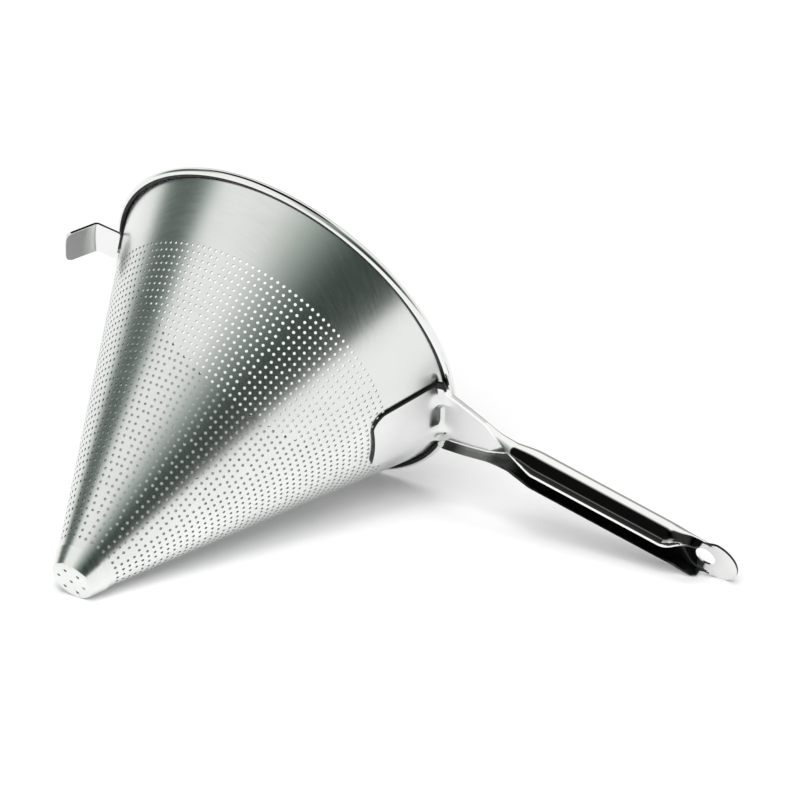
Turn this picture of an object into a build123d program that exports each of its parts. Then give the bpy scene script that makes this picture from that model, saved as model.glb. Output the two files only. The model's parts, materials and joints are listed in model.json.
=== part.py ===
from build123d import *
import math
import os

# Chinois strainer: a perforated steel cone with a banded rim, a tip cap, a folded handle and a pot hook.
# Lengths are in millimetres, angles in degrees.
# Every piece is drawn in the cone's own frame: its axis is Z, zero is the groove under the rim band,
# the tip points down and the handle leaves along +X. The last section lays the strainer on its side.

# Cone, rolled from one sheet
rim_diameter = 240.0
tip_diameter = 28.2
cone_depth = 235.0
cone_sheet = 0.8

# Perforation of the cone, measured along the wall. The solid has one opening for kept_every rings and as many
# columns of holes, as large as all of these holes together, so the wall keeps its real open area and weight
hole_diameter = 2.0
ring_pitch = 4.55
hole_pitch = 4.6
rim_margin = 44.3
tip_margin = 18.5
kept_every = 5

# Clearance between pieces that are welded or crimped together
seat_gap = 0.15

# Rim: a band crimped over the cone's edge, with a wire inside it
wire_diameter = 2.7
band_sheet = 0.6
band_lip = 3.0
band_end_gap = 1.2

# Tip cap, pressed over the small end
cap_sheet = 0.9
cap_skirt = 11.0
cap_edge_radius = 2.2
cap_hole_diameter = 2.0
cap_hole_circle = 18.4
cap_ring_holes = 6

# Handle, folded from one sheet: a saddle on the cone, a fan, a deep channel to hold, and a round tab
handle_sheet = 1.5
handle_reach = 333.5
saddle_depth = 55.0
saddle_foot_width = 50.0
saddle_corner = 12.0
saddle_bend = 3.0
root_width = 60.0
fan_drop = 3.0
fan_length = 53.0
fan_flange = 6.0
fan_lean = -35.0
fan_corner = 6.0
fold_length = 34.0
fold_before_share = 0.45
crown_rise = 2.9
grip_width = 18.7
grip_height = 24.1
grip_lean = 10.0
grip_curl = 45.0
curl_length = 4.0
curl_share = 0.8
crown_flat = 1.2
crown_depth = 14.3
runout_length = 22.0
tab_width = 31.2
tab_drop = 3.5
tab_flange = 9.5
tab_lip = 3.5
tab_corner = 3.0
flange_end_inset = 21.5
hang_hole_diameter = 14.0
hang_hole_inset = 22.5

# Pot hook, bent from a flat strap
strap_width = 28.0
strap_sheet = 1.5
hook_drop = 7.5
hook_foot = 16.0
hook_arm = 18.6
hook_arm_drop = 1.5
hook_leg_out = 11.0
hook_leg_down = 19.0
hook_bend = 2.5
hook_corner = 5.0

# Lengths that only cut, or that one piece sinks into another of the same node
overrun = 5.0

rim_radius = rim_diameter / 2
tip_radius = tip_diameter / 2
half_angle = math.atan2(rim_radius - tip_radius, cone_depth)
half_sin = math.sin(half_angle)
half_cos = math.cos(half_angle)
wall_length = cone_depth / half_cos
full_turn = 360.0


# Point beside the cone's outer face, as radius and height: slant runs down the wall, out leaves it
def beside_wall(slant, out):
    return (rim_radius - slant * half_sin + out * half_cos, -slant * half_cos - out * half_sin)


# Point on the line that runs beside the wall at a distance of out, at one height
def beside_wall_at(height, out):
    slant = (-height - out * half_sin) / half_cos
    return beside_wall(slant, out)


# Closed outline in the plane of radius and height, turned about the cone's axis
def turned(points, arc=full_turn, rounded=()):
    outline = make_face(Polyline(*points, close=True))
    for corner, radius in rounded:
        nearest = outline.vertices().sort_by_distance(Vector(*corner))[0]
        outline = fillet(nearest, radius)
    return revolve(Plane.XZ * outline, axis=Axis.Z, revolution_arc=arc)


# Cone
wire_radius = wire_diameter / 2
wire_out = seat_gap + wire_radius
band_inner = wire_out + cone_sheet + seat_gap
band_outer = band_inner + band_sheet
band_rise = math.sqrt(band_outer**2 - wire_out**2)
edge_rise = band_rise + math.sqrt(band_inner**2 - (wire_out + cone_sheet) ** 2) / 2
rim_centre = beside_wall(-band_rise, wire_out)


def perforation():
    tools = []
    opening_radius = hole_diameter * kept_every / 2
    first_slant = rim_margin + ring_pitch * (kept_every - 1) / 2
    last_slant = wall_length - tip_margin - ring_pitch * (kept_every - 1) / 2
    ring_count = int((last_slant - first_slant) / (ring_pitch * kept_every)) + 1
    for ring in range(ring_count):
        slant = first_slant + ring * ring_pitch * kept_every
        radius, height = beside_wall(slant, -cone_sheet / 2)
        count = round(2 * math.pi * radius / (hole_pitch * kept_every))
        for i in range(count):
            turn = full_turn * i / count
            outward = Vector(half_cos, 0, -half_sin).rotate(Axis.Z, turn)
            centre = Vector(radius, 0, height).rotate(Axis.Z, turn)
            tools.append(Plane(centre, z_dir=outward) * Cylinder(opening_radius, opening_radius))
    return tools


def make_cone():
    wall = turned([beside_wall(-edge_rise, 0), beside_wall(wall_length, 0),
                   beside_wall(wall_length, -cone_sheet), beside_wall(-edge_rise, -cone_sheet)])
    return wall.cut(*perforation())


# Rim
# The band's section starts as a lip inside the cone, goes over the wire and ends above the groove
def make_band():
    def around(radius, turn):
        out = -radius * math.cos(turn)
        rise = radius * math.sin(turn)
        return beside_wall(-band_rise - rise, wire_out + out)

    end_turn = 2 * math.pi - math.acos((wire_out - band_end_gap) / band_outer)
    lip_inner = beside_wall(band_lip - band_rise, wire_out - band_inner)
    lip_outer = beside_wall(band_lip - band_rise, wire_out - band_outer)
    section = [
        Line(lip_outer, lip_inner),
        Line(lip_inner, around(band_inner, 0)),
        ThreePointArc(around(band_inner, 0), around(band_inner, end_turn / 2), around(band_inner, end_turn)),
        Line(around(band_inner, end_turn), around(band_outer, end_turn)),
        ThreePointArc(around(band_outer, end_turn), around(band_outer, end_turn / 2), around(band_outer, 0)),
        Line(around(band_outer, 0), lip_outer),
    ]
    return revolve(Plane.XZ * make_face(section), axis=Axis.Z)


def make_wire():
    return Pos(0, 0, rim_centre[1]) * Torus(rim_centre[0], wire_radius)


# Tip cap
cap_floor = -cone_depth - (cap_edge_radius - cap_sheet) - seat_gap
cap_face = cap_floor - cap_sheet


def make_cap():
    outer_corner = beside_wall_at(cap_face, seat_gap + cap_sheet)
    inner_corner = beside_wall_at(cap_floor, seat_gap)
    skirt_top = wall_length - cap_skirt
    cap = turned(
        [(0, cap_face), outer_corner, beside_wall(skirt_top, seat_gap + cap_sheet),
         beside_wall(skirt_top, seat_gap), inner_corner, (0, cap_floor)],
        rounded=[(outer_corner, cap_edge_radius), (inner_corner, cap_edge_radius - cap_sheet)],
    )
    hole = Cylinder(cap_hole_diameter / 2, cap_sheet * 3)
    middle = (cap_face + cap_floor) / 2
    holes = [Pos(0, 0, middle) * hole]
    for i in range(cap_ring_holes):
        holes.append(Rot(Z=full_turn * i / cap_ring_holes) * Pos(cap_hole_circle / 2, 0, middle) * hole)
    return cap.cut(*holes)


# Handle
fan_top = -fan_drop
tab_top = -tab_drop
tab_centre = handle_reach - tab_width / 2
fan_end = rim_radius + fan_length
fold_start = fan_end - fold_length * fold_before_share
fold_end = fold_start + fold_length
flange_end = handle_reach - flange_end_inset
runout_end = handle_reach - hang_hole_inset - hang_hole_diameter / 2
runout_start = runout_end - runout_length


# How far x has gone from start to end, from nought to one
def ramp(x, start, end):
    return min(1.0, max(0.0, (x - start) / (end - start)))


def ease(share):
    return share * share * (3 - 2 * share)


def blended(first, second, share):
    return first + (second - first) * share


# One cross-section of the folded sheet, square to the handle: a web with a flange at each side, whose foot
# curls inward along the grip
def channel_section(x):
    fan = ramp(x, rim_radius, fan_end)
    fold = ramp(x, fold_start, fold_end)
    out = ramp(x, runout_start, runout_end)
    fade = ramp(x, runout_end, flange_end)
    half_width = blended(blended(root_width, grip_width, fan), tab_width, out) / 2
    top = blended(blended(fan_top, crown_rise, ease(ramp(x, fold_start, fold_end))), tab_top, ease(out))
    depth = blended(blended(blended(fan_flange, grip_height, fold), tab_flange, out), tab_lip, fade)
    crown_corner = (grip_width - crown_flat) / 2
    corner = blended(blended(fan_corner, crown_corner, ease(fold)), tab_corner, out)
    rise = blended(blended(fan_corner, crown_depth, ease(fold)), tab_corner, out)
    lean = math.radians(blended(blended(fan_lean, grip_lean, fold), 0, out))
    curl = math.radians(blended(grip_curl * fold, 0, out))
    bottom = top - depth
    middle = half_width - corner

    def crown_end(sheet):
        across = corner - sheet
        down = rise - sheet
        turn = math.pi / 2 + math.atan(down / across * math.tan(lean))
        end = (middle + across * math.sin(turn), top - rise + down * math.cos(turn))
        return across, down, math.degrees(turn), end

    crown_side, crown_foot = crown_end(0)[3]
    curled = min(curl_length, (crown_foot - bottom) * curl_share)
    curl_top = bottom + (math.cos(lean) + math.cos(lean + curl)) * curled / 2
    curl_side = crown_side - (crown_foot - curl_top) * math.tan(lean)

    def side(sheet):
        leg = curled / 2 - sheet * math.tan(curl / 2)
        start = (curl_side - sheet * math.cos(lean), curl_top + sheet * math.sin(lean))
        knee = (start[0] - leg * math.sin(lean), start[1] - leg * math.cos(lean))
        foot = (knee[0] - leg * math.sin(lean + curl), knee[1] - leg * math.cos(lean + curl))
        return (*crown_end(sheet), start, knee, foot)

    def mirrored(point):
        return (-point[0], point[1])

    edges = []
    feet = []
    for across, down, turn, end, start, knee, foot in (side(0), side(handle_sheet)):
        level = top - rise + down
        edges += [
            Line((-middle, level), (middle, level)),
            EllipticalCenterArc((middle, top - rise), across, down, full_turn / 4 - turn, arc_size=turn),
            EllipticalCenterArc((-middle, top - rise), across, down, full_turn / 4, arc_size=turn),
            Line(end, start),
            Line(mirrored(end), mirrored(start)),
            Bezier(start, knee, foot),
            Bezier(mirrored(start), mirrored(knee), mirrored(foot)),
        ]
        feet.append(foot)
    edges += [Line(*feet), Line(*map(mirrored, feet))]
    return Plane(origin=(x, 0, 0), x_dir=(0, 1, 0), z_dir=(1, 0, 0)) * make_face(edges)


def evenly(start, end, steps):
    return [blended(start, end, i / steps) for i in range(steps)]


def make_channel():
    fan_steps = 4
    fold_steps = 6
    runout_steps = 6
    stations = evenly(rim_radius + handle_sheet, fold_start, fan_steps)
    stations += evenly(fold_start, fold_end, fold_steps)
    stations += [fold_end]
    stations += evenly(runout_start, runout_end, runout_steps)
    stations += [runout_end, flange_end]
    return loft([channel_section(x) for x in stations], ruled=True)


# The saddle lies on the cone and bends out under the rim into the fan
def make_saddle():
    under = fan_top - handle_sheet
    reach = rim_radius + 2 * band_outer
    inside_bend = beside_wall_at(under, seat_gap + handle_sheet)
    outside_bend = beside_wall_at(fan_top, seat_gap)
    wider_than_root = math.degrees(2 * math.atan2(root_width, 2 * rim_radius - root_width))
    plate = turned(
        [beside_wall(saddle_depth, seat_gap), beside_wall(saddle_depth, seat_gap + handle_sheet), inside_bend,
         (reach, under), (reach, fan_top), outside_bend],
        arc=wider_than_root,
        rounded=[(inside_bend, saddle_bend), (outside_bend, saddle_bend + handle_sheet)],
    )
    foot = beside_wall(saddle_depth, 0)[1]
    outline = make_face(Polyline(
        (-root_width / 2, overrun), (root_width / 2, overrun), (root_width / 2, under),
        (saddle_foot_width / 2, foot), (-saddle_foot_width / 2, foot), (-root_width / 2, under), close=True))
    outline = fillet(outline.vertices().group_by(Axis.Y)[0], saddle_corner)
    frame = Plane(origin=(0, 0, 0), x_dir=(0, 1, 0), z_dir=(1, 0, 0))
    trim = extrude(frame * outline, amount=reach + overrun)
    return plate.rotate(Axis.Z, -wider_than_root / 2) & trim


def make_tab():
    plan = Pos(flange_end, 0) * Rectangle(2 * (tab_centre - flange_end), tab_width)
    plan += Pos(tab_centre, 0) * Circle(tab_width / 2)
    return extrude(Pos(0, 0, tab_top - handle_sheet) * plan, amount=handle_sheet)


def make_handle():
    hole = Pos(handle_reach - hang_hole_inset, 0, tab_top) * Cylinder(hang_hole_diameter / 2, 4 * handle_sheet)
    return make_channel() + make_saddle() + make_tab() - hole


# Pot hook, on the side away from the handle, curved with the cone
def make_hook():
    arm_top = beside_wall_at(-hook_drop, seat_gap)
    foot_end = beside_wall(-arm_top[1] / half_cos + hook_foot, seat_gap)
    elbow = (arm_top[0] + hook_arm, arm_top[1] - hook_arm_drop)
    tip = (elbow[0] + hook_leg_out, elbow[1] - hook_leg_down)
    path = FilletPolyline(foot_end, arm_top, elbow, tip, radius=hook_bend)
    section = make_face(offset(path, amount=strap_sheet, side=Side.RIGHT, closed=True))
    wider_than_strap = math.degrees(4 * math.atan2(strap_width, 2 * foot_end[0]))
    sheet = revolve(Plane.XZ * section, axis=Axis.Z, revolution_arc=wider_than_strap)
    trim = Pos(rim_radius, 0, 0) * Box(rim_diameter, strap_width, rim_diameter)
    strap = sheet.rotate(Axis.Z, -wider_than_strap / 2) & trim
    ends = [edge for edge in strap.edges() if abs(edge.length - strap_sheet) < strap_sheet / 50]
    return fillet(ends, hook_corner).rotate(Axis.Z, full_turn / 2)


# Rest: the strainer lies on the rim band, the tip cap and the end of the handle
cap_round = beside_wall_at(cap_face + cap_edge_radius, seat_gap + cap_sheet - cap_edge_radius)
lean_run = rim_centre[0] - cap_round[0]
lean_rise = rim_centre[1] - cap_round[1]
rest_tilt = math.acos((cap_edge_radius - band_outer) / math.hypot(lean_run, lean_rise)) - math.atan2(lean_rise, lean_run)
rest_height = rim_centre[0] * math.cos(rest_tilt) - rim_centre[1] * math.sin(rest_tilt) + band_outer


# Turn about the cone's axis that brings one point of the handle down to the surface
def turn_to_touch(x, y, z, round_radius):
    reach = (rest_height + z * math.sin(rest_tilt)) / math.cos(rest_tilt) - round_radius
    return math.acos(reach / math.hypot(x, y)) + math.atan2(y, x)


rest_turn = max(
    turn_to_touch(tab_centre, 0, tab_top - handle_sheet, tab_width / 2),
    turn_to_touch(runout_end, tab_width / 2, tab_top - tab_flange, 0),
)
spin = 90 - math.degrees(rest_turn)
tip_over = math.degrees(rest_tilt) - 90

made = {
    "cone_body": make_cone(),
    "rim_band": make_band(),
    "rim_wire": make_wire(),
    "tip_cap": make_cap(),
    "handle": make_handle(),
    "pot_hook": make_hook(),
}
laid = {name: piece.rotate(Axis.Z, spin).rotate(Axis.X, tip_over) for name, piece in made.items()}
extent = Compound(children=[Compound(piece.solids()) for piece in laid.values()]).bounding_box()
to_origin = Vector(-extent.center().X, -extent.center().Y, -extent.min.Z)

os.makedirs("parts", exist_ok=True)
for name, piece in laid.items():
    moved = piece.translate(to_origin)
    export_step(moved, f"parts/{name}.step")
    print(name, "solids", len(moved.solids()), "volume", round(moved.volume, 1))
print("spin", spin, "tip over", tip_over, "to origin", to_origin, extent.size)
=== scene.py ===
import json
import math

import bmesh
import bpy
import numpy as np
from mathutils import Matrix, Vector


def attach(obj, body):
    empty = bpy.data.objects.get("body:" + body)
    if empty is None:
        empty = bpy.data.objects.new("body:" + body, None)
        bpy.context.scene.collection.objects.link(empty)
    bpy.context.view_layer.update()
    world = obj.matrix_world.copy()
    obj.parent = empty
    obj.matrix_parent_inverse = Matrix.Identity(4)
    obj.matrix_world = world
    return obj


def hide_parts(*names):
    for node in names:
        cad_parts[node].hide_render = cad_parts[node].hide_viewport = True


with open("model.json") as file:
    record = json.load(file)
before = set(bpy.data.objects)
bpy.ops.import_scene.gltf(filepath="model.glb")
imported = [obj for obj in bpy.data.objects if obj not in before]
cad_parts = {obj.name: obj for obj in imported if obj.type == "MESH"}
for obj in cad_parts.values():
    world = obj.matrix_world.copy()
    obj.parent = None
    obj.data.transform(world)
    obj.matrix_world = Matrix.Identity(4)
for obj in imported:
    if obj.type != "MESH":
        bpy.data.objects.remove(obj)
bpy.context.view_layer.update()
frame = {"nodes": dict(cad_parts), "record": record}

# Pieces are drawn in the strainer's own frame, in millimetres: the cone's axis is Z with zero at the groove
# under the rim band, the tip points down and the handle leaves along +X. Angles are in degrees.
METRES = 0.001
FULL_TURN = 2 * math.pi

# Cone
RIM_RADIUS = 120.0
TIP_RADIUS = 14.1
CONE_DEPTH = 235.0
CONE_SHEET = 0.8
HALF_ANGLE = math.atan2(RIM_RADIUS - TIP_RADIUS, CONE_DEPTH)
HALF_SIN = math.sin(HALF_ANGLE)
HALF_COS = math.cos(HALF_ANGLE)
WALL = CONE_DEPTH / HALF_COS

# Clearance between pieces that are welded or crimped together
SEAT = 0.15

# Handle's sheet and its hanging hole, which is also a mount of the record
HANDLE_SHEET = 1.5
REACH = 333.5
TAB_TOP = -3.5
HOLE_INSET = 22.5
HANG_HOLE_RADIUS = 7.0
HANG_HOLE = Vector((REACH - HOLE_INSET, 0.0, TAB_TOP - HANDLE_SHEET / 2))


def own_frame():
    """From the strainer's own frame to the CAD's, in metres. The CAD lays the strainer on its side, and its
    record says where the two mounts are then. Both lie in the own frame's XZ plane, the hook towards -X,
    and the hole's axis is the own Z."""
    mounts = {mount["name"]: mount for mount in frame["record"]["mounts"]}
    hole, hook = (Vector(mounts[name]["pos_m"]) for name in ("hang_hole", "pot_hook"))
    z_axis = Vector(mounts["hang_hole"]["axis"]).normalized()
    x_axis = (hole - hook - (hole - hook).dot(z_axis) * z_axis).normalized()
    turn = Matrix((x_axis, z_axis.cross(x_axis), z_axis)).transposed() * METRES
    return Matrix.Translation(hole - turn @ HANG_HOLE) @ turn.to_4x4()


TO_CAD = own_frame()
TO_CAD_TURN = np.array(TO_CAD.to_3x3())
TO_CAD_PLACE = np.array(TO_CAD.translation)


def share(x, start, end):
    return min(1.0, max(0.0, (x - start) / (end - start)))


def ease(value):
    return value * value * (3 - 2 * value)


def mix(first, second, amount):
    return first + (second - first) * amount


# Places beside the cone's wall, as radius and height: slant runs down the wall, out leaves it
def beside_wall(slant, out):
    return (RIM_RADIUS - slant * HALF_SIN + out * HALF_COS, -slant * HALF_COS - out * HALF_SIN)


def slant_at(height, out):
    return (-height - out * HALF_SIN) / HALF_COS


def on_circle(centre, radius, turn):
    return (centre[0] + radius * math.cos(turn), centre[1] + radius * math.sin(turn))


def rounded_in(rest, corner):
    """How far a round corner draws in the side of a sheet, at a distance from the sheet's end."""
    if rest >= corner:
        return 0.0
    return corner - math.sqrt(max(0.0, corner**2 - (corner - rest) ** 2))


# Mesh tools
def mesh_object(name, points, faces, material, smooth=True):
    mesh = bpy.data.meshes.new(name)
    mesh.from_pydata((np.asarray(points, float) @ TO_CAD_TURN.T + TO_CAD_PLACE).tolist(), [], faces)
    mesh.validate()
    mesh.update()
    item = bpy.data.objects.new(name, mesh)
    bpy.context.scene.collection.objects.link(item)
    mesh.materials.append(material)
    if smooth:
        mesh.polygons.foreach_set("use_smooth", [True] * len(mesh.polygons))
    return item


def point_outward(item, weld_distance=0.0):
    """Turns all faces outward, after points that lie within the distance of each other are joined."""
    work = bmesh.new()
    work.from_mesh(item.data)
    if weld_distance:
        bmesh.ops.remove_doubles(work, verts=work.verts, dist=weld_distance)
    bmesh.ops.recalc_face_normals(work, faces=work.faces)
    work.to_mesh(item.data)
    work.free()


def sharpen(item, degrees):
    """Shades smoothly over all edges but those that turn by more than the angle."""
    work = bmesh.new()
    work.from_mesh(item.data)
    for edge in work.edges:
        edge.smooth = len(edge.link_faces) == 2 and edge.calc_face_angle(0) < math.radians(degrees)
    work.to_mesh(item.data)
    work.free()


def apply_modifiers(item):
    graph = bpy.context.evaluated_depsgraph_get()
    made = bpy.data.meshes.new_from_object(item.evaluated_get(graph))
    old = item.data
    item.modifiers.clear()
    item.data = made
    bpy.data.meshes.remove(old)


def thicken(item, thickness, face_slot=0, edge_slot=0):
    """Thickens a drawn face. Its drawn side and its edges get the slots, and the other side gets slot 0."""
    shell = item.modifiers.new("sheet", "SOLIDIFY")
    shell.material_offset = face_slot
    shell.material_offset_rim = edge_slot
    shell.thickness = thickness * METRES
    shell.offset = 1.0
    shell.use_even_offset = True
    shell.use_quality_normals = True
    apply_modifiers(item)
    point_outward(item, weld_distance=1e-7)


def ease_edges(item, width, steepest=55, sharpest=38):
    """Bevels edges that are steeper than the first angle, and shades smoothly up to the second."""
    soft = item.modifiers.new("eased", "BEVEL")
    soft.width = width * METRES
    soft.segments = 2
    soft.limit_method = "ANGLE"
    soft.angle_limit = math.radians(steepest)
    soft.use_clamp_overlap = True
    soft.harden_normals = False
    apply_modifiers(item)
    item.data.polygons.foreach_set("use_smooth", [True] * len(item.data.polygons))
    sharpen(item, sharpest)


def cut_hole(item, centre, radius, length, slot=0, sides=64):
    """Cuts a round hole along Z, whose wall gets the slot."""
    points = []
    for height in (centre[2] - length / 2, centre[2] + length / 2):
        points += [(*on_circle(centre, radius, FULL_TURN * i / sides), height) for i in range(sides)]
    faces = [(i, (i + 1) % sides, (i + 1) % sides + sides, i + sides) for i in range(sides)]
    faces.append(tuple(reversed(range(sides))))
    faces.append(tuple(range(sides, 2 * sides)))
    cutter = mesh_object("hole_cutter", points, faces, item.data.materials[slot], smooth=False)
    cut = item.modifiers.new("hole", "BOOLEAN")
    cut.operation = "DIFFERENCE"
    cut.solver = "EXACT"
    cut.object = cutter
    apply_modifiers(item)
    bpy.data.objects.remove(cutter, do_unlink=True)


def turned(name, profile, material, steps):
    """Solid of revolution about the cone's axis from a closed profile of radius and height."""
    points, faces = [], []
    count = len(profile)
    for i in range(steps):
        turn = FULL_TURN * i / steps
        points += [(*on_circle((0, 0), radius, turn), height) for radius, height in profile]
    for i in range(steps):
        here, after = i * count, (i + 1) % steps * count
        for j in range(count):
            k = (j + 1) % count
            faces.append((here + j, after + j, after + k, here + k))
    item = mesh_object(name, points, faces, material)
    point_outward(item)
    return item


# Materials
SATIN_TINTS = (0.92, 0.945, 0.925), (0.985, 1.0, 0.985)
POLISHED_TINTS = (0.96, 0.965, 0.96), (1.0, 1.0, 0.995)
SHADE_TINT = (0.95, 1.0, 0.96)
MARKS_STRETCH = (1, 22, 1)


def new_steel(name):
    material = bpy.data.materials.new(name)
    material.use_nodes = True
    nodes, links = material.node_tree.nodes, material.node_tree.links
    shader = nodes["Principled BSDF"]
    shader.inputs["Metallic"].default_value = 1.0
    return material, nodes, links, shader


def mapped_noise(nodes, links, scale, detail, stretch=(1, 1, 1), turn=(0, 0, 0)):
    coordinates = nodes.new("ShaderNodeTexCoord")
    mapping = nodes.new("ShaderNodeMapping")
    mapping.inputs["Scale"].default_value = stretch
    mapping.inputs["Rotation"].default_value = turn
    noise = nodes.new("ShaderNodeTexNoise")
    noise.inputs["Scale"].default_value = scale
    noise.inputs["Detail"].default_value = detail
    links.new(coordinates.outputs["Object"], mapping.inputs["Vector"])
    links.new(mapping.outputs["Vector"], noise.inputs["Vector"])
    return noise.outputs["Fac"]


def span(nodes, links, source, low, high, out_low, out_high):
    node = nodes.new("ShaderNodeMapRange")
    node.inputs["From Min"].default_value = low
    node.inputs["From Max"].default_value = high
    node.inputs["To Min"].default_value = out_low
    node.inputs["To Max"].default_value = out_high
    links.new(source, node.inputs["Value"])
    return node.outputs["Result"]


def ramp_colour(nodes, links, source, stops):
    node = nodes.new("ShaderNodeValToRGB")
    ramp = node.color_ramp
    while len(ramp.elements) < len(stops):
        ramp.elements.new(0.5)
    for element, (place, colour) in zip(ramp.elements, stops):
        element.position = place
        element.color = (*colour, 1)
    links.new(source, node.inputs["Fac"])
    return node.outputs["Color"]


def tinted(bright, tint):
    return tuple(bright * value for value in tint)


def add_cloud(nodes, links, shader, cloud, bright, tints):
    stops = [(place, tinted(bright, tint)) for place, tint in zip((0.3, 0.7), tints)]
    links.new(ramp_colour(nodes, links, cloud, stops), shader.inputs["Base Color"])


def add_relief(nodes, links, shader, height, strength, distance):
    relief = nodes.new("ShaderNodeBump")
    relief.inputs["Strength"].default_value = strength
    relief.inputs["Distance"].default_value = distance
    links.new(height, relief.inputs["Height"])
    links.new(relief.outputs["Normal"], shader.inputs["Normal"])


def satin_steel(name, low_rough, high_rough, bright, bump=0.02):
    """Steel with fine rolling marks round the cone's axis, which lies in the CAD frame's YZ plane."""
    material, nodes, links, shader = new_steel(name)
    axis = TO_CAD.to_3x3() @ Vector((0, 0, 1))
    round_axis = (math.atan2(axis.y, axis.z) - math.pi / 2, 0, 0)
    add_cloud(nodes, links, shader, mapped_noise(nodes, links, scale=26, detail=3), bright, SATIN_TINTS)
    marks = mapped_noise(nodes, links, scale=60, detail=5, stretch=MARKS_STRETCH, turn=round_axis)
    links.new(span(nodes, links, marks, 0.3, 0.7, low_rough, high_rough), shader.inputs["Roughness"])
    add_relief(nodes, links, shader, marks, strength=bump, distance=0.001)
    return material


def polished_steel(name, low_rough, high_rough, bright):
    """Mirror finish, a little uneven, with faint swirls from the polishing wheel."""
    material, nodes, links, shader = new_steel(name)
    cloud = mapped_noise(nodes, links, scale=34, detail=2)
    add_cloud(nodes, links, shader, cloud, bright, POLISHED_TINTS)
    swirl = mapped_noise(nodes, links, scale=420, detail=4, stretch=(1, 3, 1))
    links.new(span(nodes, links, swirl, 0.3, 0.75, low_rough, high_rough), shader.inputs["Roughness"])
    add_relief(nodes, links, shader, cloud, strength=0.006, distance=0.004)
    return material


def shaded_unpolished_steel(name, stops, low_rough, high_rough):
    """Unpolished steel, darkened along the handle as painted shade of the channel's inside. A stop is a
    place along the handle in millimetres, and the brightness there."""
    material, nodes, links, shader = new_steel(name)
    axis = (TO_CAD.to_3x3() @ Vector((1, 0, 0))).normalized()
    coordinates = nodes.new("ShaderNodeTexCoord")
    along = nodes.new("ShaderNodeVectorMath")
    along.operation = "DOT_PRODUCT"
    along.inputs[1].default_value = axis
    links.new(coordinates.outputs["Object"], along.inputs[0])
    first, last = stops[0][0], stops[-1][0]
    start = axis.dot(TO_CAD.translation)
    place = span(nodes, links, along.outputs["Value"], start + first * METRES, start + last * METRES, 0, 1)
    colours = [((x - first) / (last - first), tinted(bright, SHADE_TINT)) for x, bright in stops]
    links.new(ramp_colour(nodes, links, place, colours), shader.inputs["Base Color"])
    marks = mapped_noise(nodes, links, scale=60, detail=5, stretch=MARKS_STRETCH)
    links.new(span(nodes, links, marks, 0.3, 0.7, low_rough, high_rough), shader.inputs["Roughness"])
    return material


cone_steel = satin_steel("cone_satin_steel", 0.21, 0.26, bright=0.84, bump=0.003)
# The cone's inner skin and the holes' sides: the same satin steel, darker as painted shade
inside_shaded_steel = satin_steel("cone_inside_shaded_steel", 0.36, 0.50, bright=0.46)
cap_steel = satin_steel("cap_satin_steel", 0.16, 0.26, bright=0.86, bump=0.01)
# Rim wire inside the bead: near-black as painted shade of the bead's hollow
wire_shaded_steel = satin_steel("wire_painted_shade_steel", 0.4, 0.6, bright=0.12)
# Near-black steel: painted shade in the groove under the rim band and along the line round the handle's
# saddle
painted_shade_steel = satin_steel("painted_shade_seam_steel", 0.4, 0.6, bright=0.04)
rim_steel = polished_steel("rim_polished_steel", 0.05, 0.12, bright=0.88)
handle_steel = polished_steel("handle_polished_steel", 0.03, 0.09, bright=0.95)
hook_steel = polished_steel("hook_polished_steel", 0.06, 0.14, bright=0.88)
fan_steel = polished_steel("handle_satin_steel", 0.12, 0.20, bright=0.80)
# Painted shade along the handle's inside and edges: darkest at the bend, lighter on the fan, dark again in
# the channel
SHADE_ALONG_HANDLE = ((122, 0.03), (131, 0.04), (140, 0.24), (151, 0.26), (160, 0.08), (175, 0.045))
inside_unpolished_shade = shaded_unpolished_steel("handle_inside_unpolished_shade_steel", SHADE_ALONG_HANDLE, 0.25, 0.4)

# Perforated cone: rings of holes at one pitch, in sectors whose columns run parallel to the sector's middle
HOLE_RADIUS = 0.98
HOLE_SIDES = 12
RING_PITCH = 4.55
HOLE_PITCH = 4.6
FIRST_RING = 44.3
LAST_RING = 238.7
SECTORS = 10
SECTOR_START = math.radians(7)
SEAM_GAP = 0.72 * HOLE_PITCH
CONE_TOP = -3.4
HALF_BAND = 0.42 * RING_PITCH
BLANK_ABOVE = FIRST_RING - 0.6 * RING_PITCH
BLANK_BELOW = LAST_RING + 0.7 * RING_PITCH
TOP_SIDES, TIP_SIDES = 256, 96


def ring_angles(radius):
    """Angles of one ring's holes. Each sector holds as many as fit, moved where a seam needs its gap."""
    sector = FULL_TURN / SECTORS
    arc = sector * radius
    steps = int((arc - SEAM_GAP) / HOLE_PITCH)
    before = (steps + 1) // 2 if steps else 0
    offsets = [(j - before) * HOLE_PITCH for j in range(steps + 1)]
    shift = max(0.0, SEAM_GAP / 2 - (arc / 2 - max(abs(offsets[0]), abs(offsets[-1]))))
    if abs(offsets[0]) <= abs(offsets[-1]):
        shift = -shift
    found = []
    for k in range(SECTORS):
        middle = SECTOR_START + (k + 0.5) * sector
        found += [middle + (offset + shift) / radius for offset in offsets]
    return sorted(angle % FULL_TURN for angle in found)


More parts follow.
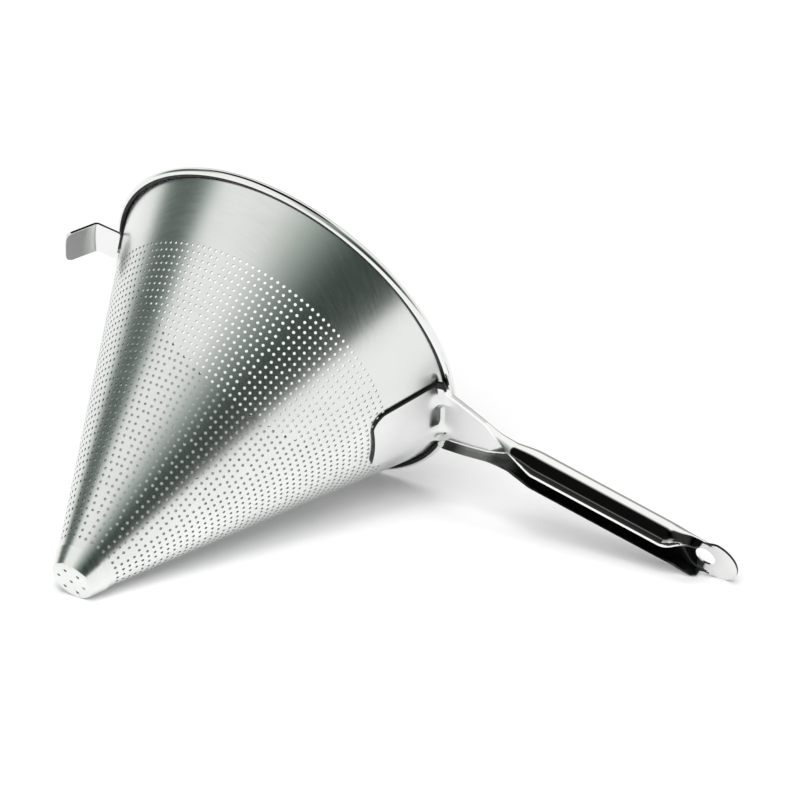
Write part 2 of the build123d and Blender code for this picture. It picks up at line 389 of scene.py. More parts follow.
class WallMesh:
    """Faces on the cone's wall. A point is a slant down the wall and an angle round it."""

    def __init__(self):
        self.slants, self.angles, self.faces, self.holes = [], [], [], []

    def add(self, slant, angle):
        self.slants.append(slant)
        self.angles.append(angle)
        return len(self.slants) - 1

    def blank(self, start, end, rows, sides):
        """Plain stretch of wall. Gives its first and its last ring of points."""
        rings = [[self.add(mix(start, end, i / rows), FULL_TURN * j / sides) for j in range(sides)]
                 for i in range(rows + 1)]
        for upper, lower in zip(rings, rings[1:]):
            for j in range(sides):
                k = (j + 1) % sides
                self.faces.append((upper[j], lower[j], lower[k], upper[k]))
        return rings[0], rings[-1]

    def join(self, upper, lower):
        """Triangles between two rings of points that have different counts."""
        upper, lower = (sorted(ring, key=lambda v: self.angles[v] % FULL_TURN) for ring in (upper, lower))
        upper_turns, lower_turns = ([self.angles[v] % FULL_TURN for v in ring] for ring in (upper, lower))
        upper_turns.append(upper_turns[0] + FULL_TURN)
        lower_turns.append(lower_turns[0] + FULL_TURN)
        i = j = 0
        while i < len(upper) or j < len(lower):
            here, there = upper[i % len(upper)], lower[j % len(lower)]
            if j >= len(lower) or (i < len(upper) and upper_turns[i + 1] <= lower_turns[j + 1]):
                i += 1
                self.faces.append((here, there, upper[i % len(upper)]))
            else:
                j += 1
                self.faces.append((here, there, lower[j % len(lower)]))

    def hole_band(self, slant):
        """Band of cells with one hole in each. Gives the band's upper and lower ring of points."""
        radius = beside_wall(slant, 0)[0]
        angles = ring_angles(radius)
        after = angles[1:] + [angles[0] + FULL_TURN]
        sides = [(angle + following) / 2 for angle, following in zip(angles, after)]
        top, high, low, bottom = ([self.add(slant + drop * HALF_BAND, angle) for angle in sides]
                                  for drop in (-1, -1 / 3, 1 / 3, 1))
        upper, lower = list(top), list(bottom)
        for i, angle in enumerate(angles):
            left = sides[i - 1] - (FULL_TURN if i == 0 else 0)
            thirds = [mix(left, sides[i], part / 3) for part in (1, 2)]
            top_left, top_right = (self.add(slant - HALF_BAND, third) for third in thirds)
            bottom_left, bottom_right = (self.add(slant + HALF_BAND, third) for third in thirds)
            upper += [top_left, top_right]
            lower += [bottom_left, bottom_right]
            # Cell's edge, starting at the right side's upper point and going up, left, down and back
            edge = [high[i], top[i], top_right, top_left, top[i - 1], high[i - 1],
                    low[i - 1], bottom[i - 1], bottom_left, bottom_right, bottom[i], low[i]]
            hole = []
            for k in range(HOLE_SIDES):
                right, up = on_circle((0, 0), HOLE_RADIUS, FULL_TURN * (k + 0.5) / HOLE_SIDES)
                hole.append(self.add(slant - up, angle + right / radius))
            self.holes.append(hole)
            for k in range(HOLE_SIDES):
                n = (k + 1) % HOLE_SIDES
                self.faces.append((hole[k], edge[k], edge[n], hole[n]))
        return upper, lower

    def skin(self, out):
        """All points at a distance from the wall."""
        radius, height = beside_wall(np.array(self.slants), out)
        return np.stack([radius * np.cos(self.angles), radius * np.sin(self.angles), height], 1)

    def outward(self):
        level = np.full(len(self.angles), -HALF_SIN)
        return np.stack([HALF_COS * np.cos(self.angles), HALF_COS * np.sin(self.angles), level], 1)


def closed_strip(first, second):
    """Faces between two closed rows of points that have the same count."""
    count = len(first)
    return [(first[i], first[(i + 1) % count], second[(i + 1) % count], second[i]) for i in range(count)]


def perforated_cone():
    wall = WallMesh()
    top_ring, previous = wall.blank(CONE_TOP, BLANK_ABOVE, rows=6, sides=TOP_SIDES)
    for ring in range(round((LAST_RING - FIRST_RING) / RING_PITCH) + 1):
        upper, lower = wall.hole_band(FIRST_RING + ring * RING_PITCH)
        wall.join(previous, upper)
        previous = lower
    next_ring, tip_ring = wall.blank(BLANK_BELOW, WALL, rows=3, sides=TIP_SIDES)
    wall.join(previous, next_ring)

    points, outward = wall.skin(0.0), wall.outward()
    outer = []
    for face in wall.faces:
        a, b, c = (points[v] for v in face[:3])
        facing = float(np.cross(b - a, c - a) @ outward[face[0]])
        outer.append(face if facing > 0 else tuple(reversed(face)))
    total = len(points)
    inner = [tuple(v + total for v in reversed(face)) for face in outer]
    sides = []
    for loop in (top_ring, tip_ring, *wall.holes):
        sides += closed_strip(loop, [v + total for v in loop])
    item = mesh_object("perforated_cone", np.concatenate([points, wall.skin(-CONE_SHEET)]),
                       outer + inner + sides, cone_steel)
    point_outward(item)
    item.data.materials.append(inside_shaded_steel)
    slots = [0] * len(outer) + [1] * (len(inner) + len(sides))
    item.data.polygons.foreach_set("material_index", slots)
    shade_as_wall(item.data, outward @ TO_CAD_TURN.T / METRES, len(outer) + len(inner))
    return item


def shade_as_wall(mesh, outward, skin_faces):
    """The two skins are shaded as a true cone, and the sides of the holes as they are."""
    vertices = np.zeros(len(mesh.loops), int)
    mesh.loops.foreach_get("vertex_index", vertices)
    normals = np.concatenate([outward, -outward])[vertices]
    for polygon in list(mesh.polygons)[skin_faces:]:
        for loop in polygon.loop_indices:
            normals[loop] = polygon.normal
    mesh.normals_split_custom_set(normals.tolist())


# Rim band: it starts as a lip inside the cone, goes over the wire and ends above the groove
WIRE_RADIUS = 1.35
BAND_SHEET = 0.6
BAND_LIP = 3.0
BAND_END_GAP = 1.2
BAND_EASE = 0.2
BAND_STEPS = 40
BAND_SHADE_TURN = math.radians(240)
WIRE_OUT = SEAT + WIRE_RADIUS
BAND_INNER = WIRE_OUT + CONE_SHEET + SEAT
BAND_OUTER = BAND_INNER + BAND_SHEET
BAND_MIDDLE = (BAND_INNER + BAND_OUTER) / 2
BAND_RISE = math.sqrt(BAND_OUTER**2 - WIRE_OUT**2)


def around_wire(radius, turn):
    return beside_wall(-BAND_RISE - radius * math.sin(turn), WIRE_OUT - radius * math.cos(turn))


def rim_band():
    """The band's far end, in the groove, gets near-black steel as painted shade."""
    end_turn = FULL_TURN - math.acos((WIRE_OUT - BAND_END_GAP) / BAND_OUTER)
    turns = [end_turn * i / BAND_STEPS for i in range(BAND_STEPS + 1)]
    lip_end = BAND_LIP - BAND_RISE
    profile = [around_wire(BAND_OUTER, turn) for turn in reversed(turns)]
    profile += [beside_wall(lip_end, WIRE_OUT - BAND_OUTER),
                beside_wall(lip_end + BAND_EASE, WIRE_OUT - BAND_MIDDLE),
                beside_wall(lip_end, WIRE_OUT - BAND_INNER)]
    profile += [around_wire(BAND_INNER, turn) for turn in turns]
    profile.append(around_wire(BAND_MIDDLE, end_turn + BAND_EASE / BAND_MIDDLE))
    item = turned("rim_band_polished", profile, rim_steel, steps=288)
    item.data.materials.append(painted_shade_steel)
    # Painted shade: the band's rows past this turn and its last two faces, in the groove, get the
    # near-black steel
    dark = [j for j in range(BAND_STEPS) if turns[BAND_STEPS - j] > BAND_SHADE_TURN]
    dark += [len(profile) - 2, len(profile) - 1]
    slots = [1 if j in dark else 0 for j in range(len(profile))]
    item.data.polygons.foreach_set("material_index", slots * (len(item.data.polygons) // len(profile)))
    sharpen(item, 50)
    return item


# Handle: one folded sheet. It lies on the cone as a saddle, leaves it at the bend as a fan, folds into a
# deep channel that is the grip, and runs out into a round tab. The side that is drawn lies on the cone, and
# is the fan's upper face and the channel's outside.
SADDLE_DEPTH = 55.0
SADDLE_HALF = 25.0
SADDLE_CORNER = 12.0
SADDLE_STEPS = 60
SADDLE_CROWDING = 1.3
SADDLE_END = RIM_RADIUS + 3.0
BEND_RADIUS = 3.4
BEND_STEPS = 14
BEND_FADE = 22.0
ROOT_START, ROOT_END = RIM_RADIUS + 2.0, RIM_RADIUS + 9.0
FAN_END = RIM_RADIUS + 53.0
FOLD_START = FAN_END - 19.3
FOLD_MIDDLE = FOLD_START + 19.0
FOLD_END = FOLD_START + 38.0
RUN_END = REACH - 27.5
RUN_START = RUN_END - 22.0
FLANGE_END = REACH - 24.5
TAB_RADIUS = 15.6
TAB_CENTRE = REACH - TAB_RADIUS
FLAT_START, FLAT_END = FLANGE_END - 1.0, FLANGE_END + 9.0
EDGE_EASE = 0.22

# Section of the sheet at the fan's root, along the grip and at the tab: half width, height of its top,
# depth of its sides, width and height of its round corner, and lean and curled foot of its sides
ROOT_HALF, GRIP_HALF = 30.0, 9.9
FAN_TOP, GRIP_TOP = -3.0, 4.2
ROOT_DEPTH, GRIP_DEPTH, RUN_DEPTH, FLANGE_DEPTH = 5.4, 22.5, 9.5, 7.2
ROOT_CORNER, GRIP_CORNER, TAB_CORNER = 6.0, 8.75, 3.0
GRIP_CORNER_RISE = 13.0
ROOT_LEAN, GRIP_LEAN = -35.0, 20.0
ROOT_SHARE = 0.12
GRIP_CURL = 60.0
CURL_LENGTH = 4.0
CURL_SHARE = 0.8
SHORTEST_SIDE = 0.4
FLATTEST_SIDE = 0.3

# Steps across half the sheet: over the web, round the corner, down the side and round the curled foot
WEB_STEPS, CORNER_STEPS, STRAIGHT_STEPS, CURL_STEPS = 30, 16, 4, 7
UPPER_STEPS = WEB_STEPS + CORNER_STEPS
SIDE_STEPS = STRAIGHT_STEPS + CURL_STEPS

# Rows of points: the gap where a new form starts, how many the tab's straight sides and its round end get,
# and the first and last turn round that end
ROW_GAP = 0.8
STRAIGHT_ROWS, ROUND_ROWS = 6, 22
ROUND_START, ROUND_END = 0.07, 1.5

# Marks in the sheet: two darts pressed into the bend, and a spot weld's dimple near the saddle's foot
DART_DEPTH = 2.6
DART_ALONG = 6.0
DART_ACROSS = 4.6
DART_PLACES = (-15.0, 15.0)
DART_PUSH = 0.3
WELD_DEPTH = 0.45
WELD_ALONG, WELD_ACROSS = 40.0, -6.3
WELD_SPREAD = 2.2

# Slots of the handle's materials, and what tells the faces of the fan's web and the curled foot: how far
# they look up or down. A line of painted shade runs round the saddle, and is wide over a stretch before the
# bend.
UNPOLISHED_SHADE, POLISHED, PAINTED_SHADE, SATIN = range(4)
FAR_WEB_FACING, NEAR_WEB_FACING = 0.93, 0.7
CURLED_FACING = -0.33
SHADE_LINE, WIDE_SHADE_LINE = 1.1, 5.0
WIDE_START, WIDE_FULL = SADDLE_DEPTH - 9.0, SADDLE_DEPTH - 4.0


def half_section(x):
    """Drawn side of half the folded sheet at x, as points (across, height) from the crown to the foot."""
    root = mix(ROOT_SHARE, 1.0, ease(share(x, ROOT_START, ROOT_END)))
    fan = share(x, RIM_RADIUS, FAN_END)
    folding = share(x, FOLD_START, FOLD_END)
    fold = mix(folding, ease(folding), 0.5)
    out = ease(share(x, RUN_START, RUN_END))
    half_width = mix(mix(ROOT_HALF, GRIP_HALF, fan), TAB_RADIUS, out)
    top = mix(mix(FAN_TOP, GRIP_TOP, ease(folding)), TAB_TOP, out)
    depth = mix(mix(ROOT_DEPTH, GRIP_DEPTH, fold), RUN_DEPTH, out)
    depth = mix(depth, FLANGE_DEPTH, share(x, RUN_END, FLANGE_END))
    corner = mix(mix(ROOT_CORNER, GRIP_CORNER, fold), TAB_CORNER, out)
    rise = mix(mix(ROOT_CORNER, GRIP_CORNER_RISE, fold), TAB_CORNER, out)
    lean = math.radians(mix(mix(ROOT_LEAN, GRIP_LEAN, share(x, FOLD_START, FOLD_MIDDLE)), 0, out))
    curl = math.radians(GRIP_CURL * fold * (1 - out))
    end_turn = (math.pi / 2 + math.atan(rise / corner * math.tan(lean))) * root
    middle = half_width - corner * math.sin(min(end_turn, math.pi / 2))
    side = [(middle * j / WEB_STEPS, top) for j in range(WEB_STEPS)]
    for j in range(CORNER_STEPS + 1):
        turn = end_turn * j / CORNER_STEPS
        side.append((middle + corner * math.sin(turn), top - rise + rise * math.cos(turn)))
    across, height = side[-1]
    slope = math.atan2(rise * math.sin(end_turn), corner * math.cos(end_turn))
    left = max(SHORTEST_SIDE, (height - (top - depth)) * root)
    curled = min(CURL_LENGTH, left * CURL_SHARE)
    straight = left - curled * (math.sin(slope) + math.sin(slope + curl)) / 2
    straight /= max(FLATTEST_SIDE, math.sin(slope))
    for j in range(SIDE_STEPS):
        bent = (j - STRAIGHT_STEPS + 0.5) / CURL_STEPS
        turn = slope + max(0.0, bent) * curl
        step = curled / CURL_STEPS if bent > 0 else straight / STRAIGHT_STEPS
        across, height = across + step * math.cos(turn), height - step * math.sin(turn)
        side.append((across, height))
    return side


def both_sides(side):
    return [(-across, height) for across, height in reversed(side[1:])] + side


def dart_lift(along, across):
    """How far the darts push the sheet into the bend's corner, outward and down alike."""
    lift = sum(math.exp(-((across - place) / DART_ACROSS) ** 2) for place in DART_PLACES)
    return math.sqrt(0.5) * DART_DEPTH * math.exp(-(along / DART_ALONG) ** 2) * lift


def weld_mark(along, across):
    away = (along - WELD_ALONG) ** 2 + (across - WELD_ACROSS) ** 2
    return WELD_DEPTH * math.exp(-away / WELD_SPREAD)


def saddle_half(rest):
    """Half the saddle's width at a distance from its foot."""
    return mix(SADDLE_HALF, ROOT_HALF, min(1.0, rest / SADDLE_DEPTH)) - rounded_in(rest, SADDLE_CORNER)


def saddle_row(radius, height, half_width, along):
    """Points across the saddle or the bend, on a circle about the cone's axis."""
    row = []
    flat = half_width * (1 - ROOT_CORNER / ROOT_HALF)
    for j in range(-UPPER_STEPS, UPPER_STEPS + 1):
        if abs(j) <= WEB_STEPS:
            across = flat * abs(j) / WEB_STEPS
        else:
            across = mix(flat, half_width, (abs(j) - WEB_STEPS) / CORNER_STEPS)
        across = math.copysign(across, j)
        lift = dart_lift(along, across) - weld_mark(along, across)
        row.append((math.sqrt(max(0.0, radius**2 - across**2)) + lift, across, height - lift))
    return row


def handle_rows():
    """Rows of points across the sheet, from the saddle's foot to the tab's end."""
    turn_angle = math.pi / 2 - HALF_ANGLE
    bend_slant = slant_at(FAN_TOP - HANDLE_SHEET, SEAT + HANDLE_SHEET)
    bend_slant += BEND_RADIUS * math.tan(turn_angle / 2)
    outer_radius = BEND_RADIUS + HANDLE_SHEET
    half_bend = outer_radius * turn_angle / 2
    rows = []
    for i in range(SADDLE_STEPS + 1):
        slant = mix(SADDLE_DEPTH, bend_slant, 1 - (1 - i / SADDLE_STEPS) ** SADDLE_CROWDING)
        rows.append(saddle_row(*beside_wall(slant, SEAT), saddle_half(SADDLE_DEPTH - slant),
                               slant - bend_slant + half_bend))
    centre = beside_wall(bend_slant, SEAT + outer_radius)
    for i in range(1, BEND_STEPS + 1):
        turn = turn_angle * i / BEND_STEPS
        radius, height = on_circle(centre, outer_radius, math.pi - HALF_ANGLE - turn)
        rows.append(saddle_row(radius, height, ROOT_HALF, outer_radius * turn - half_bend))
    return rows + folded_rows(centre[0], half_bend) + tab_rows()


def folded_rows(bend_end, half_bend):
    """Rows of the fan, the grip and the run-out. Behind the bend they straighten from the cone's curve."""
    # Start, end and count of rows of each stretch
    stretches = (
        (bend_end + ROW_GAP, bend_end + 12.0, 22),
        (bend_end + 13.5, FOLD_START - 3.0, 16),
        (FOLD_START - 2.0, FOLD_END + 2.0, 30),
        (FOLD_END + 6.0, RUN_START - 4.0, 20),
        (RUN_START - 1.0, RUN_END + 1.0, 26),
        (RUN_END + 2.0, FLANGE_END, 8),
    )
    rows = []
    for x in (x for start, end, count in stretches for x in np.linspace(start, end, count)):
        curved = 1 - ease(share(x, bend_end, bend_end + BEND_FADE))
        row = []
        for across, height in both_sides(half_section(x)):
            sag = (bend_end - math.sqrt(max(0.0, bend_end**2 - across**2))) * curved
            on_web = height > FAN_TOP - 1.0
            lift = dart_lift(x - bend_end + half_bend, across) if on_web else 0.0
            row.append((x - sag + lift * DART_PUSH, across, height - lift))
        rows.append(row)
    return rows


def tab_rows():
    """Rows of the flat round tab. The last flanged section flattens into it."""
    section = half_section(FLANGE_END)[:UPPER_STEPS + 1]
    full = section[-1][0]
    ends = [(x, TAB_RADIUS) for x in np.linspace(FLANGE_END + ROW_GAP, TAB_CENTRE, STRAIGHT_ROWS)]
    ends += [(TAB_CENTRE + TAB_RADIUS * math.sin(turn), TAB_RADIUS * math.cos(turn))
             for turn in np.linspace(ROUND_START, ROUND_END, ROUND_ROWS)]
    rows = []
    for x, half_width in ends:
        flat = ease(share(x, FLAT_START, FLAT_END))
        row = [(mix(across / full, j / UPPER_STEPS, flat) * half_width, mix(height, TAB_TOP, flat))
               for j, (across, height) in enumerate(section)]
        rows.append([(x, across, height) for across, height in both_sides(row)])
    return rows


def folded_handle():
    points, grid = [], []
    widest = 2 * (UPPER_STEPS + SIDE_STEPS) + 1
    for row in handle_rows():
        spare = [None] * ((widest - len(row)) // 2)
        grid.append(spare + list(range(len(points), len(points) + len(row))) + spare)
        points += row
    faces = []
    for upper, lower in zip(grid, grid[1:]):
        for j in range(widest - 1):
            corners = (upper[j], upper[j + 1], lower[j + 1], lower[j])
            if None not in corners:
                faces.append(corners)
    item = mesh_object("folded_handle", points, faces, inside_unpolished_shade)
    for material in (handle_steel, painted_shade_steel, fan_steel):
        item.data.materials.append(material)
    thicken(item, HANDLE_SHEET, face_slot=POLISHED, edge_slot=PAINTED_SHADE)
    to_own = TO_CAD.inverted()
    turn_to_own = to_own.to_3x3().normalized()
    for face in item.data.polygons:
        centre, facing = to_own @ face.center, turn_to_own @ face.normal
        face.material_index = handle_finish(face.material_index, centre, facing)
    cut_hole(item, HANG_HOLE, HANG_HOLE_RADIUS, length=8 * HANDLE_SHEET, slot=POLISHED)
    ease_edges(item, EDGE_EASE)
    return item


def handle_finish(slot, centre, facing):
    """Slot of one face, from the slot that thickening gave it. The drawn side is polished, but for the
    outside of the curled foot, which gets unpolished steel painted dark as shade. The other side and the
    edges get that unpolished steel with painted shade. But the saddle, the fan's web and the tab are satin,
    and the rest of the fan's -Y half is polished all round."""
    on_saddle = centre.x < SADDLE_END
    level = abs(facing.z) > (FAR_WEB_FACING if centre.y > 0 else NEAR_WEB_FACING)
    on_web = level and not FOLD_MIDDLE <= centre.x <= RUN_END
    if slot == UNPOLISHED_SHADE and (on_web or on_saddle):
        slot = SATIN
    elif slot != POLISHED and centre.x < FOLD_END and centre.y < 0:
        slot = POLISHED
    elif slot == PAINTED_SHADE and not on_saddle:
        slot = UNPOLISHED_SHADE
    # Painted shade: the curled foot's outside gets the dark unpolished steel
    if slot == POLISHED and FOLD_START < centre.x < RUN_END and facing.z < CURLED_FACING:
        foot = half_section(centre.x)[-1][1]
        if centre.z > foot + HANDLE_SHEET / 2:
            slot = UNPOLISHED_SHADE
    # Painted shade: faces on the saddle's border get the near-black steel
    if on_saddle:
        rest = SADDLE_DEPTH - slant_at(centre.z, SEAT + HANDLE_SHEET)
        line = mix(SHADE_LINE, WIDE_SHADE_LINE, ease(share(rest, WIDE_START, WIDE_FULL)))
        if rest < SHADE_LINE or saddle_half(rest) + centre.y < line:
            slot = PAINTED_SHADE
    return slot


# Pot hook: a strap that starts on the wall, leaves it under the rim and turns down
STRAP_SHEET = 1.5
STRAP_WIDTH = 28.0
STRAP_CORNER = 5.0
STRAP_STEPS = 20
HOOK_DROP = 7.5
HOOK_FOOT = 16.0
HOOK_ARM, HOOK_ARM_DROP = 18.6, 1.5
HOOK_LEG_OUT, HOOK_LEG_DOWN = 11.0, 19.0
HOOK_BEND = 2.5
HOOK_BEND_STEPS = 8
HOOK_STEP = 0.7


def bent_path(corners, radius):
    """Line through the corners with an arc at each of them."""
    path = [corners[0]]
    for before, here, after in zip(corners, corners[1:], corners[2:]):
        back, on = (before - here).normalized(), (after - here).normalized()
        half_open = back.angle(on) / 2
        middle = here + (back + on).normalized() * radius / math.sin(half_open)
        first, last = (here + way * radius / math.tan(half_open) - middle for way in (back, on))
        for i in range(HOOK_BEND_STEPS + 1):
            path.append(middle + first.lerp(last, i / HOOK_BEND_STEPS).normalized() * radius)
    path.append(corners[-1])
    return path


def divided(path, step):
    """The path with more points on its straight runs."""
    fine = [path[0]]
    for start, end in zip(path, path[1:]):
        pieces = max(1, int((end - start).length / step))
        fine += [start.lerp(end, k / pieces) for k in range(1, pieces + 1)]
    return fine


def bent_pot_hook():
    arm_start = Vector(beside_wall(slant_at(-HOOK_DROP, SEAT), SEAT))
    foot = Vector(beside_wall(HOOK_DROP / HALF_COS + HOOK_FOOT, SEAT))
    elbow = arm_start + Vector((HOOK_ARM, -HOOK_ARM_DROP))
    tip = elbow + Vector((HOOK_LEG_OUT, -HOOK_LEG_DOWN))
    path = divided(bent_path([foot, arm_start, elbow, tip], HOOK_BEND + STRAP_SHEET), HOOK_STEP)
    lengths = [0.0]
    for start, end in zip(path, path[1:]):
        lengths.append(lengths[-1] + (end - start).length)
    points, faces = [], []
    for place, length in zip(path, lengths):
        half = STRAP_WIDTH / 2 - rounded_in(min(length, lengths[-1] - length), STRAP_CORNER)
        for j in range(-STRAP_STEPS, STRAP_STEPS + 1):
            across = half * j / STRAP_STEPS
            points.append((-math.sqrt(place.x**2 - across**2), across, place.y))
    row = 2 * STRAP_STEPS + 1
    for i in range(len(path) - 1):
        for j in range(i * row, (i + 1) * row - 1):
            faces.append((j, j + row, j + row + 1, j + 1))
    item = mesh_object("bent_pot_hook", points, faces, hook_steel)
    thicken(item, STRAP_SHEET)
    ease_edges(item, EDGE_EASE)
    return item


# Tip cap: a pressed cup with a round edge, and seven holes in its face
CAP_SHEET = 0.9
CAP_SKIRT = 11.0
CAP_EDGE = 2.2
CAP_EDGE_STEPS = 12
CAP_CENTRE = 0.5
CAP_HOLE_RADIUS = 1.15
CAP_RING_RADIUS = 9.2
CAP_RING_HOLES = 6
CAP_EASE = 0.15


def tip_cap():
    face = -CONE_DEPTH - (CAP_EDGE - CAP_SHEET) - SEAT - CAP_SHEET
    height = face + CAP_EDGE
    out = SEAT + CAP_SHEET - CAP_EDGE
    middle = beside_wall(slant_at(height, out), out)
    turns = [mix(-math.pi / 2, -HALF_ANGLE, i / CAP_EDGE_STEPS) for i in range(CAP_EDGE_STEPS + 1)]
    outer = [on_circle(middle, CAP_EDGE, turn) for turn in turns]
    inner = [on_circle(middle, CAP_EDGE - CAP_SHEET, turn) for turn in turns]
    skirt = [beside_wall(WALL - CAP_SKIRT, SEAT + CAP_SHEET), beside_wall(WALL - CAP_SKIRT, SEAT)]
    profile = [(CAP_CENTRE, face), *outer, *skirt, *reversed(inner), (CAP_CENTRE, face + CAP_SHEET)]
    item = turned("tip_cap_pressed", profile, cap_steel, steps=144)
    turns = [FULL_TURN * i / CAP_RING_HOLES for i in range(CAP_RING_HOLES)]
    for place in [(0.0, 0.0)] + [on_circle((0, 0), CAP_RING_RADIUS, turn) for turn in turns]:
        cut_hole(item, (*place, face + CAP_SHEET / 2), CAP_HOLE_RADIUS, length=3 * CAP_SHEET)
    ease_edges(item, CAP_EASE)
    return item


cone = perforated_cone()
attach(cone, "root")
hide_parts("cone_body")

band = rim_band()
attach(band, "root")
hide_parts("rim_band")

handle = folded_handle()
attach(handle, "root")
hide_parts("handle")

hook = bent_pot_hook()
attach(hook, "root")
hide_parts("pot_hook")

cap = tip_cap()
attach(cap, "root")
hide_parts("tip_cap")

wire = frame["nodes"]["rim_wire"]
wire.data.materials.clear()
wire.data.materials.append(wire_shaded_steel)


# Floor: it shows the object's shadow, and glows a little for the camera and in the metal, so it is white
FLOOR_HALF = 6.0
FLOOR_COLOUR = (0.86, 0.86, 0.86, 1)
FLOOR_GLOW = 0.12
WHITE = (1, 1, 1, 1)


def floor_material():
    material = bpy.data.materials.new("pale_floor")
    material.use_nodes = True
    nodes, links = material.node_tree.nodes, material.node_tree.links
    nodes.clear()
    diffuse = nodes.new("ShaderNodeBsdfDiffuse")
    diffuse.inputs["Color"].default_value = FLOOR_COLOUR
    glow = nodes.new("ShaderNodeEmission")
    glow.inputs["Color"].default_value = WHITE
    rays = nodes.new("ShaderNodeLightPath")
    seen = nodes.new("ShaderNodeMath")
    seen.operation = "MAXIMUM"
    strength = nodes.new("ShaderNodeMath")
    strength.operation = "MULTIPLY"
    strength.inputs[1].default_value = FLOOR_GLOW
    both = nodes.new("ShaderNodeAddShader")
    out = nodes.new("ShaderNodeOutputMaterial")
    links.new(rays.outputs["Is Camera Ray"], seen.inputs[0])
    links.new(rays.outputs["Is Glossy Ray"], seen.inputs[1])
    links.new(seen.outputs["Value"], strength.inputs[0])
    links.new(strength.outputs["Value"], glow.inputs["Strength"])
    links.new(diffuse.outputs["BSDF"], both.inputs[0])
    links.new(glow.outputs["Emission"], both.inputs[1])
    links.new(both.outputs["Shader"], out.inputs["Surface"])
    return material


floor_mesh = bpy.data.meshes.new("floor")
corners = [(FLOOR_HALF * x, FLOOR_HALF * y, 0) for x, y in ((-1, -1), (1, -1), (1, 1), (-1, 1))]
floor_mesh.from_pydata(corners, [], [(0, 1, 2, 3)])
floor_mesh.materials.append(floor_material())
floor = bpy.data.objects.new("floor", floor_mesh)
bpy.context.scene.collection.objects.link(floor)

# Photograph's view: where the camera stands, and the axes of its picture in the frame
AZIMUTH, ELEVATION = math.radians(36.5), math.radians(22.6)
RIGHT = Vector((math.cos(AZIMUTH), math.sin(AZIMUTH), 0))
TOWARD = Vector((math.sin(AZIMUTH), -math.cos(AZIMUTH), 0))
BACK = TOWARD * math.cos(ELEVATION) + Vector((0, 0, math.sin(ELEVATION)))
UP = BACK.cross(RIGHT)


def in_view(right, up, back):
    return RIGHT * right + UP * up + BACK * back


# World: a white studio with darker areas, given by direction. Metal mirrors it, and the camera sees white
SOFT_FILL = 0.12
ROOM_GREYS = (
    (0.0, (0.028, 0.040, 0.033)),
    (0.15, (0.120, 0.155, 0.133)),
    (0.5, (0.460, 0.505, 0.472)),
    (1.0, (0.983, 0.985, 0.963)),
)
world = bpy.data.worlds.new("studio")
bpy.context.scene.world = world
world.use_nodes = True
nodes, links = world.node_tree.nodes, world.node_tree.links
nodes.clear()
where = nodes.new("ShaderNodeTexCoord")


def math_node(operation, first, second):
    node = nodes.new("ShaderNodeMath")
    node.operation = operation
    for socket, value in zip(node.inputs, (first, second)):
        if isinstance(value, (int, float)):
            socket.default_value = value
        else:
            links.new(value, socket)
    return node.outputs["Value"]


def without_patch(direction, full, edge, amount, blend="SMOOTHSTEP"):
    """One, or less by the amount inside a cone of directions, soft from its full to its edge angle."""
    toward = nodes.new("ShaderNodeVectorMath")
    toward.operation = "DOT_PRODUCT"
    toward.inputs[1].default_value = direction.normalized()
    links.new(where.outputs["Generated"], toward.inputs[0])
    patch = nodes.new("ShaderNodeMapRange")
    patch.interpolation_type = blend
    patch.inputs["From Min"].default_value = math.cos(math.radians(edge))
    patch.inputs["From Max"].default_value = math.cos(math.radians(full))
    links.new(toward.outputs["Value"], patch.inputs["Value"])
    return math_node("SUBTRACT", 1.0, math_node("MULTIPLY", patch.outputs["Result"], amount))


def background(strength):
    node = nodes.new("ShaderNodeBackground")
    node.inputs["Color"].default_value = WHITE
    if isinstance(strength, float):
        node.inputs["Strength"].default_value = strength
    else:
        links.new(strength, node.inputs["Strength"])
    return node


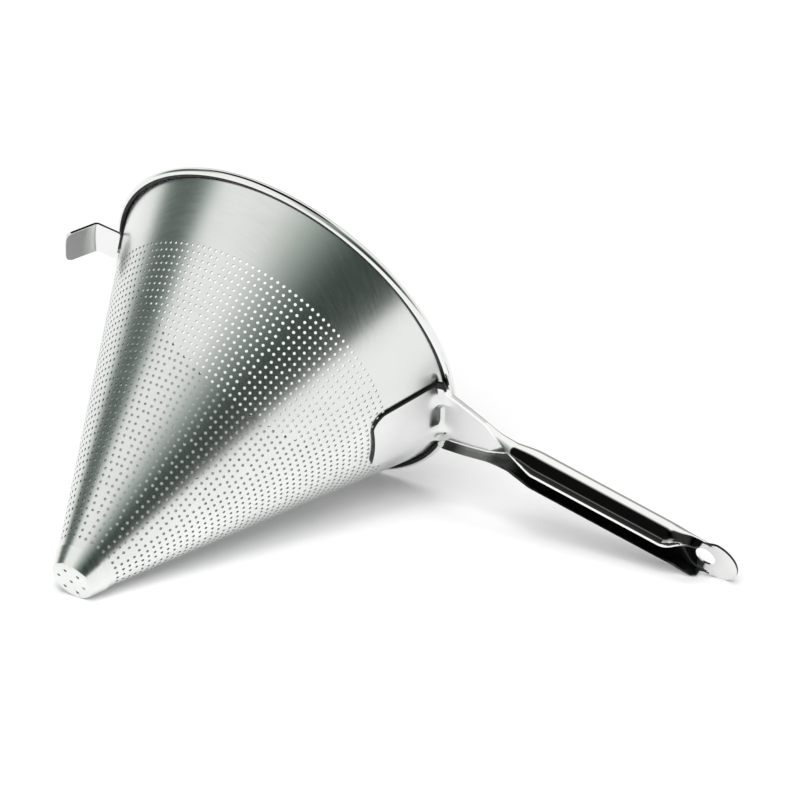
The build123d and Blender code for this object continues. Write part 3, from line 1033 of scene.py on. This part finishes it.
room = without_patch(in_view(0.40, -0.08, 0.91), full=15, edge=62, amount=0.985, blend="LINEAR")
flag = without_patch(in_view(-0.83, 0.50, -0.22), full=7, edge=27, amount=0.9)
ceiling = without_patch(in_view(-0.04, 0.89, 0.455), full=20, edge=33, amount=0.995)
beam = without_patch(in_view(-0.38, 0.92, 0.0), full=16, edge=26, amount=0.97)
wall = without_patch(in_view(0.22, 0.55, -0.80), full=13, edge=24, amount=0.65)
mirrored = background(math_node("MULTIPLY", math_node("MULTIPLY", ceiling, beam), wall))
greys = ramp_colour(nodes, links, math_node("MULTIPLY", room, flag), ROOM_GREYS)
links.new(greys, mirrored.inputs["Color"])
rays = nodes.new("ShaderNodeLightPath")
lit = nodes.new("ShaderNodeMixShader")
shown = nodes.new("ShaderNodeMixShader")
world_out = nodes.new("ShaderNodeOutputWorld")
links.new(rays.outputs["Is Glossy Ray"], lit.inputs["Fac"])
links.new(background(SOFT_FILL).outputs["Background"], lit.inputs[1])
links.new(mirrored.outputs["Background"], lit.inputs[2])
links.new(rays.outputs["Is Camera Ray"], shown.inputs["Fac"])
links.new(lit.outputs["Shader"], shown.inputs[1])
links.new(background(1.0).outputs["Background"], shown.inputs[2])
links.new(shown.outputs["Shader"], world_out.inputs["Surface"])


# Two wide soft lamps overhead: they make the shadow on the floor and aren't mirrored in the metal
LAMP_WIDTH = math.radians(34)


def soft_lamp(name, energy, direction):
    lamp_data = bpy.data.lights.new(name, "SUN")
    lamp_data.energy = energy
    lamp_data.angle = LAMP_WIDTH
    lamp = bpy.data.objects.new(name, lamp_data)
    bpy.context.scene.collection.objects.link(lamp)
    lamp.rotation_mode = "QUATERNION"
    lamp.rotation_quaternion = direction.to_track_quat("-Z", "Y")
    lamp.visible_glossy = False


soft_lamp("overhead_front", 2.42, in_view(0.10, -0.410, -0.907))
soft_lamp("overhead", 1.24, in_view(0.05, -0.75, -0.66))

# Camera with a long lens, as the photograph shows almost no perspective. One pixel's size is in metres. The
# centre of the groove, where the own frame has its zero, lies at the named pixel of the photograph.
PIXEL = 0.0006237
PICTURE = 800
GROOVE_PIXEL = (284.4, 322.1)
DISTANCE = 5.0
right_shift, down_shift = ((PICTURE / 2 - place) * PIXEL for place in GROOVE_PIXEL)
camera_data = bpy.data.cameras.new("camera")
camera_data.lens = camera_data.sensor_width * DISTANCE / (PICTURE * PIXEL)
camera_data.clip_start, camera_data.clip_end = 0.1, 50.0
camera = bpy.data.objects.new("camera", camera_data)
bpy.context.scene.collection.objects.link(camera)
camera.location = TO_CAD.translation + in_view(right_shift, -down_shift, DISTANCE)
camera.rotation_mode = "QUATERNION"
camera.rotation_quaternion = (-BACK).to_track_quat("-Z", "Y")
bpy.context.scene.camera = camera
bpy.context.scene.view_settings.view_transform = "Standard"
